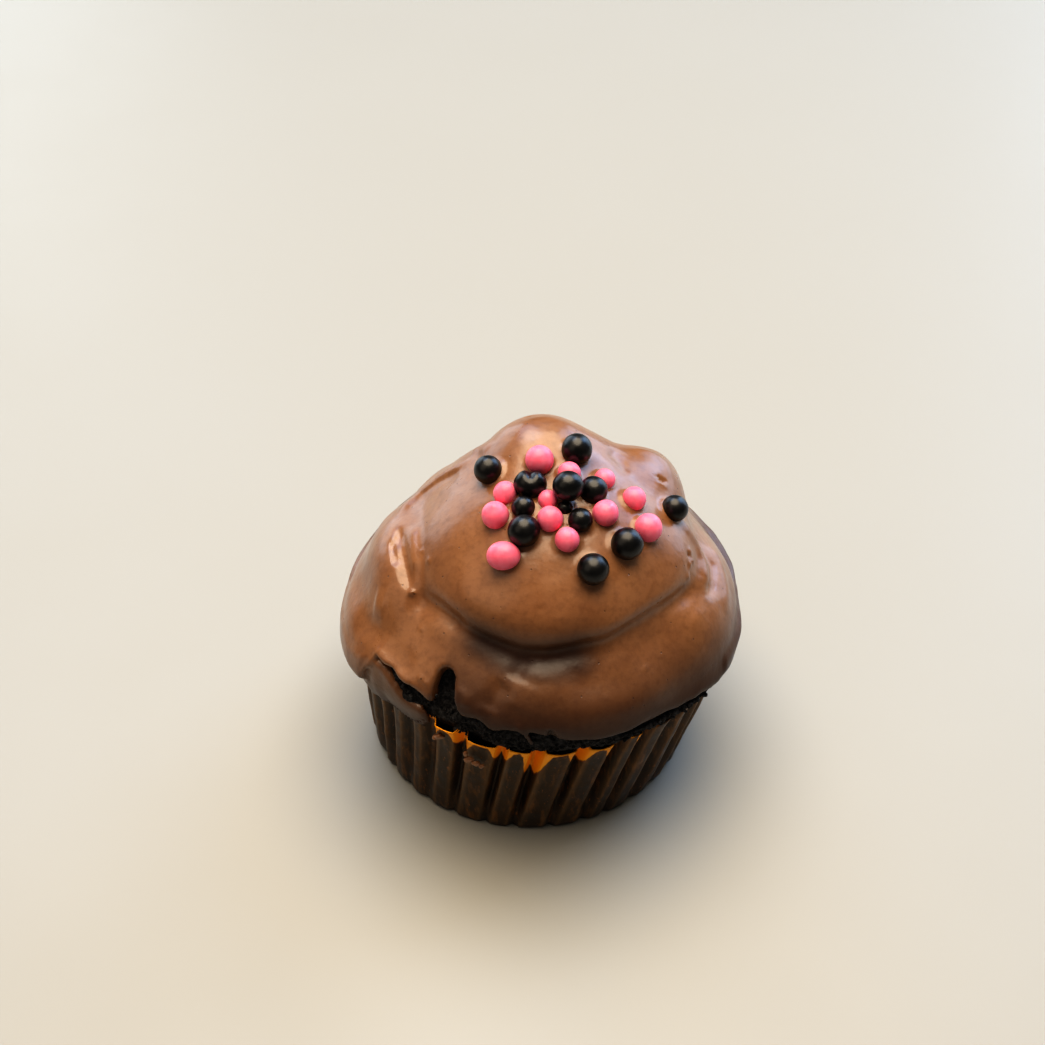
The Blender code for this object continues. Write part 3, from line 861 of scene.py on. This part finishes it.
paperWork = {
    "pleats": 40,
    "firstPleat": -92.0,        # azimuth of the deepest groove, at the front
    "deepPleats": {-92: 2.5, -116: 2.0, -77: 2.0, -65: 2.3},   # azimuth and depth of grooves that gape
    "grooveDepth": (1.4, 2.3),
    "grooveHalf": (2.1, 1.15),  # half width of a groove at the sides and at the front
    "grooveSpots": (0.0, 0.3, 0.6, 0.85, 1.0),
    "widestGroove": 0.46,       # half width of a groove, over the width of a panel
    # width of the painted highlight along each ridge
    "ridgeHighlightWidth": 0.3,
    "footDepth": 0.28,          # share of a groove's depth that is left at the foot
    "footFade": 0.45,
    "footCurve": 0.05,
    "frontSpan": 40.0,          # degrees either side of the front
    "frontWider": 0.3,
    "unevenness": 0.2,
    "crown": 0.15,
    "rimDrop": 1.5,             # the rim sags between grooves at the front
    "flare": 0.7,
    "riseFlare": 0.6,           # what stands higher leans out more
    "flareSharpness": 9,
    "bareDepth": 8.0,           # paper that no fat has soaked, below the rim
    "bareWidth": 1.0,           # how far it spreads from a groove
    "barePanels": 0.1,          # and how much of it there is between grooves
    "thickness": 0.18,
    "rows": 30,
    "footRings": 5,
    "wrinkles": ((7.0, 0.2), (1.6, 0.06)),
    "seed": 41,
}

# Where round the rim the bare paper shows
bareShares = [
    (-180, 0.0), (-128, 0.0), (-122, 0.9), (-110, 1.0), (-72, 1.0), (-68, 0.2), (-63.5, 0.1),
    (-61.5, 1.0), (-59, 0.1), (-47, 0.1), (-43.5, 1.0), (-41, 0.1), (0, 0.0), (40, 0.5),
    (80, 0.1), (120, 0.6), (160, 0.0),
]

# Dabs of icing on the paper: place and radii
icingDabs = [
    ((-13.9, -27.2, 23.2), (0.8, 0.45, 0.55)), ((-14.6, -26.9, 22.6), (0.45, 0.4, 0.4)),
    ((-9.4, -29.3, 20.2), (0.8, 0.4, 0.6)), ((-8.3, -29.6, 19.6), (0.75, 0.4, 0.45)),
    ((-7.5, -29.8, 19.2), (0.5, 0.35, 0.35)), ((-9.9, -29.2, 21.4), (0.4, 0.35, 0.6)),
]

# How much higher the rim stands, by azimuth
rimRises = [
    (-180, 0.2), (-150, 0.3), (-128, 0.8), (-119, 1.3), (-110, 1.1), (-102, 0.4), (-92, 0.0),
    (-60, 0.0), (-35, 0.3), (0, 0.2), (90, 0.3),
]


def frontness(azimuths):
    # 1 at the front, 0 at the sides and the back
    away = (azimuths - paperWork["firstPleat"] + 180) % 360 - 180
    return np.exp(-(away / paperWork["frontSpan"]) ** 2)


def pleatColumns():
    # for each column round the rim: azimuth, groove depth, painted ridge highlight, sag of the rim, bare
    # paper
    work = paperWork
    rng = np.random.default_rng(work["seed"])
    count = work["pleats"]
    uneven = work["unevenness"]
    middles = work["firstPleat"] + (np.arange(count) + 0.5) * 360 / count
    wide = (1 + work["frontWider"] * frontness(middles)) * rng.uniform(1 - uneven, 1 + uneven, count)
    edges = work["firstPleat"] + 360 * np.concatenate(([0], np.cumsum(wide))) / wide.sum()
    depths = rng.uniform(*work["grooveDepth"], count + 1)
    for azimuth, depth in work["deepPleats"].items():
        away = np.abs((edges - azimuth + 180) % 360 - 180)
        depths[away < away.min() + 0.01] = depth
    side, front = work["grooveHalf"]
    halves = side + (front - side) * frontness(edges)
    halves = halves * rng.uniform(1 - uneven, 1 + uneven, count + 1)
    bares = rng.uniform(0.6, 1.1, count + 1)
    sags = rng.uniform(0.2, 1.0, count)
    for values in (depths, halves, bares):
        values[-1] = values[0]
    spots = np.array(work["grooveSpots"])
    columns = []
    for i in range(count):
        width = math.radians(edges[i + 1] - edges[i]) * caseForm["rimRadius"]
        left = min(halves[i], work["widestGroove"] * width)
        right = min(halves[i + 1], work["widestGroove"] * width)
        panel = np.linspace(left, width - right, 5)[1:-1]
        along = np.concatenate((left * spots, panel, width - right * spots[:0:-1]))
        nearLeft = along < width / 2
        fromEdge = np.where(nearLeft, along, width - along)
        half = np.where(nearLeft, left, right)
        dip = np.clip(1 - fromEdge / half, 0, 1)
        depth = np.where(nearLeft, depths[i], depths[i + 1])
        bare = np.where(nearLeft, bares[i], bares[i + 1])
        arc = 4 * (along / width) * (1 - along / width)
        spread = np.exp(-(np.maximum(fromEdge - 0.5 * half, 0) / work["bareWidth"]) ** 2)
        columns.append(np.stack((
            edges[i] + (edges[i + 1] - edges[i]) * along / width,
            depth * dip - work["crown"] * arc,
            # painted highlight: a narrow light line along each pleat's ridge
            np.exp(-((fromEdge - half) / work["ridgeHighlightWidth"]) ** 2),
            sags[i] * arc,
            bare * (work["barePanels"] + (1 - work["barePanels"]) * spread),
        )))
    return np.concatenate(columns, 1)


def caseRings():
    # rings of points from the foot up the outside, then down the inside
    work = paperWork
    azimuths, grooves, ridgeHighlights, sags, bares = pleatColumns()
    front = frontness(azimuths)
    wrapped = (azimuths + 180) % 360 - 180
    rises = roundTheRim(rimRises, wrapped)
    tops = caseForm["height"] + rises - work["rimDrop"] * sags * (0.25 + 0.75 * front)
    bares = work["bareDepth"] * bares * roundTheRim(bareShares, wrapped)
    shares = np.linspace(0, 1, work["rows"]) ** 0.9
    rings = []
    marks = []
    for inner in (False, True):
        for share in (shares[::-1] if inner else shares):
            depthShare = work["footDepth"] + (1 - work["footDepth"]) * rampUp(0, work["footFade"], share)
            foot = caseForm["baseRadius"] - caseForm["footRadius"]
            foot = foot * (1 - rampUp(0, work["footCurve"], share))
            radius = caseRadius(caseForm["height"] * share) - foot - grooves * depthShare
            flare = work["flare"] * front * (grooves < 0.5) + work["riseFlare"] * rises
            radius = radius + flare * share ** work["flareSharpness"]
            turn = np.radians(azimuths + caseForm["twist"] * (share - 1))
            lean = caseForm["lean"] * share
            ring = np.stack((radius * np.cos(turn) + lean, radius * np.sin(turn), tops * share), 1)
            push = sum(wobble(ring, look, 43) for look in work["wrinkles"])
            push = push * rampUp(0, 0.15, share) - (work["thickness"] if inner else 0)
            ring[:, 0] += push * np.cos(turn)
            ring[:, 1] += push * np.sin(turn)
            if inner:
                ring[:, 2] = np.maximum(ring[:, 2], work["thickness"])
            rings.append(ring)
            # the painted ridge highlight grows stronger towards the rim
            marks.append((bares - tops * (1 - share) - 0.3, ridgeHighlights * (0.4 + 0.6 * share)))
    return rings, marks


def makePaperCase():
    rings, marks = caseRings()
    columns = len(rings[0])
    here = np.arange(columns)
    grid = here + columns * np.arange(len(rings))[:, None]
    onward = np.roll(grid, -1, 1)
    faces = [np.stack((grid[:-1], onward[:-1], onward[1:], grid[1:]), -1).reshape(-1, 4)]
    # the foot, outside and inside, each closed in rings round its middle
    count = paperWork["footRings"]
    sheets = [*rings]
    start = grid.size
    for number, facingDown in ((0, True), (len(rings) - 1, False)):
        centre = np.array((0, 0, rings[number][0, 2]))
        last = grid[number]
        for k in range(1, count):
            sheets.append(centre + (rings[number] - centre) * (1 - k / count))
            now = start + here
            band = np.stack((last, now, np.roll(now, -1), np.roll(last, -1)), 1)
            faces.append(band if facingDown else band[:, ::-1])
            last = now
            start += columns
        sheets.append(centre[None])
        spokes = np.stack((last, np.full(columns, start), np.roll(last, -1)), 1)
        faces.append(spokes if facingDown else spokes[:, ::-1])
        start += 1
    points = np.concatenate(sheets)
    bare = np.full(len(points), -5.0)
    # painted highlight along the pleat ridge, for the material to read
    edge = np.zeros(len(points))
    bare[:grid.size] = np.concatenate([mark[0] for mark in marks])
    edge[:grid.size] = np.concatenate([mark[1] for mark in marks])
    return points, faces, bare, edge


def paperPaint():
    paint = Paint("case_paper", Specular_IOR_Level=0.45)
    soak = paint.noise(3.2, 4, 0.6)
    streaks = paint.noise(1.1, 4, 0.6, stretch=(1, 1, 5))
    flecks = paint.noise(0.55, 3, 0.6, stretch=(1, 1, 2.2))
    colour = paint.blend(tint(40, 26, 11), tint(66, 44, 18), paint.ramp(soak, (0.35, 0.0), (0.7, 1.0)))
    colour = paint.blend(colour, tint(134, 88, 34), paint.ramp(streaks, (0.52, 0.0), (0.76, 0.8)))
    colour = paint.blend(colour, tint(160, 100, 42), paint.ramp(flecks, (0.62, 0.0), (0.72, 0.6)))
    # painted highlight: lighter paper along the pleat ridge
    colour = paint.blend(colour, tint(150, 112, 68), paint.value("edge") * 0.5)
    ragged = (paint.value("bare") + paint.noise(0.8, 3)) * 0.5
    colour = paint.blend(colour, tint(150, 86, 20), paint.ramp(ragged, (0.0, 0.0), (0.25, 0.8)))
    colour = paint.blend(colour, tint(255, 170, 18), paint.ramp(ragged, (0.2, 0.0), (0.36, 1.0)))
    paint.give("Base Color", colour)
    paint.give("Roughness", paint.ramp(soak, (0.3, 0.36), (0.7, 0.58)))
    fibre = paint.noise(0.35, 4, 0.6)
    paint.give("Normal", paint.bump(streaks, 0.12, 0.5, paint.bump(fibre, 0.04, 0.5)))
    return paint.material


def addCase():
    points, faces, bare, edge = makePaperCase()
    piece = addPiece("pleated_case", points, faces, paperPaint(), ["paper_case"])
    addValues(piece, "bare", bare)
    # painted ridge highlight
    addValues(piece, "edge", edge)


def makeDabs(material):
    # small lumps of icing that fell on the paper
    ball, faces = roundLump(3)
    lumps = []
    for number, (place, radii) in enumerate(icingDabs):
        swell = 1 + 0.25 * grain(ball + 5 * number, 0.8, 45)
        lumps.append((np.array(place) + ball * swell[:, None] * radii, faces))
    points, joined = scatter(lumps)
    addPiece("icing_dabs", points, [joined], material, [])


# Sugar pearls

pearlWork = {
    "subdivisions": 4,
    "unevenness": 0.03,
    "grow": 1.12,               # the frame's pearls have flat sides, these are round and touch
    "sink": 0.05,
    "beanDent": 0.34,
    "nippleHeight": 0.12,
}
beanPearl = "pearl_black_03"
nippledPearl = "pearl_pink_05"
ovalPearl = "pearl_pink_09"


def pearlShape(name, ball):
    centre, radii = pearlBoxes[name]
    seed = int(name.rsplit("_", 1)[1]) + (50 if "pink" in name else 70)
    swell = 1 + pearlWork["unevenness"] * grain(ball + seed * 3.7, 0.9, 51)
    shape = ball * swell[:, None]
    if name == beanPearl:
        notch = np.exp(-(ball[:, 0] / 0.26) ** 2) * np.clip(ball[:, 2] + 0.3 * ball[:, 1], 0, 1) ** 2
        shape = shape * (1 - pearlWork["beanDent"] * notch)[:, None] * (1.14, 1.0, 1.05)
    if name == nippledPearl:
        tipAt = np.array((-0.1, -0.15, 0.98))
        away = np.linalg.norm(ball - tipAt / np.linalg.norm(tipAt), axis=1)
        shape = shape * (1 + pearlWork["nippleHeight"] * np.exp(-(away / 0.25) ** 2))[:, None]
    if name == ovalPearl:
        shape = shape * (1.12, 0.92, 0.95)
    sink = (0, 0, (pearlWork["grow"] - 1) * radii[2] + pearlWork["sink"])
    return centre - sink + shape * radii * pearlWork["grow"]


def pearlPaint(name, dark, light, roughness, coat):
    paint = Paint(name, Specular_IOR_Level=0.5, Coat_Weight=coat, Coat_Roughness=0.12)
    clouds = paint.noise(1.4, 3, 0.55)
    paint.give("Base Color", paint.blend(dark, light, paint.ramp(clouds, (0.35, 0.0), (0.7, 1.0))))
    paint.give("Roughness", paint.ramp(clouds, (0.3, roughness), (0.8, roughness + 0.12)))
    paint.give("Normal", paint.bump(paint.noise(0.6, 3, 0.5), 0.05, 0.5))
    return paint


def makePearls():
    ball, faces = roundLump(pearlWork["subdivisions"])
    black = pearlPaint("black_sugar", tint(10, 9, 9), tint(18, 16, 15), 0.3, 0.15)
    pink = pearlPaint("pink_sugar", tint(250, 118, 146), tint(255, 136, 162), 0.38, 0.1)
    pink.shader.inputs["Subsurface Weight"].default_value = 0.15
    pink.shader.inputs["Subsurface Radius"].default_value = (0.6 * mm, 0.2 * mm, 0.2 * mm)
    pink.shader.inputs["Subsurface Scale"].default_value = 1.0
    for kind, paint in (("black", black), ("pink", pink)):
        names = [name for name in pearlBoxes if kind in name]
        points, joined = scatter([(pearlShape(name, ball), faces) for name in names])
        addPiece(kind + "_pearls", points, [joined], paint.material, names)


# Studio

studioWork = {
    "floorSize": 3.0,           # metres
    "floorColour": tint(164, 162, 156),
    "skyColour": (1.0, 0.98, 0.92),
    "skyStrength": 0.15,
    "exposure": -0.35,
    "contrast": "High Contrast",
    "lightDistance": 0.9,       # metres
    "pitch": 42.0,              # degrees below level that the camera looks
    "cameraPlace": (-1.10, -188.83, 213.22),
    "focalShare": 1.5311,       # focal length over the picture's width
    "sensor": 36.0,
}

# Round area lights aimed at the muffin: elevation and azimuth in degrees, size in metres,
# colour, watts
studioLights = {
    "back left window": (14, 128, 0.7, (0.72, 0.87, 1.0), 2.8),
    "back right window": (14, 45, 0.7, (0.58, 0.76, 1.0), 3.6),
    "high left": (50, 114, 0.5, (0.28, 0.56, 1.0), 1.8),
    "high right": (40, 42, 0.5, (0.34, 0.60, 1.0), 3.0),
    "overhead": (79, 90, 1.0, (1.0, 0.85, 0.65), 15.5),
    "left front": (42, 205, 0.7, (1.0, 0.86, 0.70), 0.9),
}


def makeStudio():
    size = studioWork["floorSize"]
    corners = [(-size, -size, 0), (size, -size, 0), (size, size, 0), (-size, size, 0)]
    mesh = bpy.data.meshes.new("floor")
    mesh.from_pydata(corners, [], [(0, 1, 2, 3)])
    floor = bpy.data.objects.new("floor", mesh)
    bpy.context.scene.collection.objects.link(floor)
    paint = Paint("pale_floor", Specular_IOR_Level=0.4)
    cloud = paint.noise(60.0, 2)
    base = studioWork["floorColour"]
    darker = tuple(part * 0.96 for part in base)
    paint.give("Base Color", paint.blend(base, darker, cloud))
    paint.give("Roughness", paint.ramp(cloud, (0.3, 0.42), (0.7, 0.5)))
    mesh.materials.append(paint.material)
    world = bpy.data.worlds.new("pale room")
    world.use_nodes = True
    sky = world.node_tree.nodes["Background"]
    sky.inputs["Color"].default_value = (*studioWork["skyColour"], 1)
    sky.inputs["Strength"].default_value = studioWork["skyStrength"]
    bpy.context.scene.world = world
    for name, (elevation, azimuth, side, colour, watts) in studioLights.items():
        light = bpy.data.lights.new(name, "AREA")
        light.shape = "DISK"
        light.size = side
        light.color = colour
        light.energy = watts
        lamp = bpy.data.objects.new(name, light)
        bpy.context.scene.collection.objects.link(lamp)
        rise = math.radians(elevation)
        turn = math.radians(azimuth)
        level = studioWork["lightDistance"] * math.cos(rise)
        height = studioWork["lightDistance"] * math.sin(rise)
        lamp.location = (level * math.cos(turn), level * math.sin(turn), height)
        lamp.rotation_euler = (math.pi / 2 - rise, 0, turn + math.pi / 2)


def makeCamera():
    camera = bpy.data.cameras.new("camera")
    camera.sensor_width = studioWork["sensor"]
    camera.lens = studioWork["sensor"] * studioWork["focalShare"]
    camera.clip_start = 0.01
    seat = bpy.data.objects.new("camera", camera)
    bpy.context.scene.collection.objects.link(seat)
    seat.location = [length * mm for length in studioWork["cameraPlace"]]
    seat.rotation_euler = (math.radians(90 - studioWork["pitch"]), 0, 0)
    bpy.context.scene.camera = seat
    view = bpy.context.scene.view_settings
    view.view_transform = "Standard"
    view.look = studioWork["contrast"]
    view.exposure = studioWork["exposure"]


# Put it together

makeCamera()
makeStudio()
print("muffin: studio ready")
icingMaterial = makeIcing()
crumbMaterial = cakePaint()
makeCake(crumbMaterial)
makeCrumbs(crumbMaterial)
addCase()
makeDabs(icingMaterial)
makePearls()
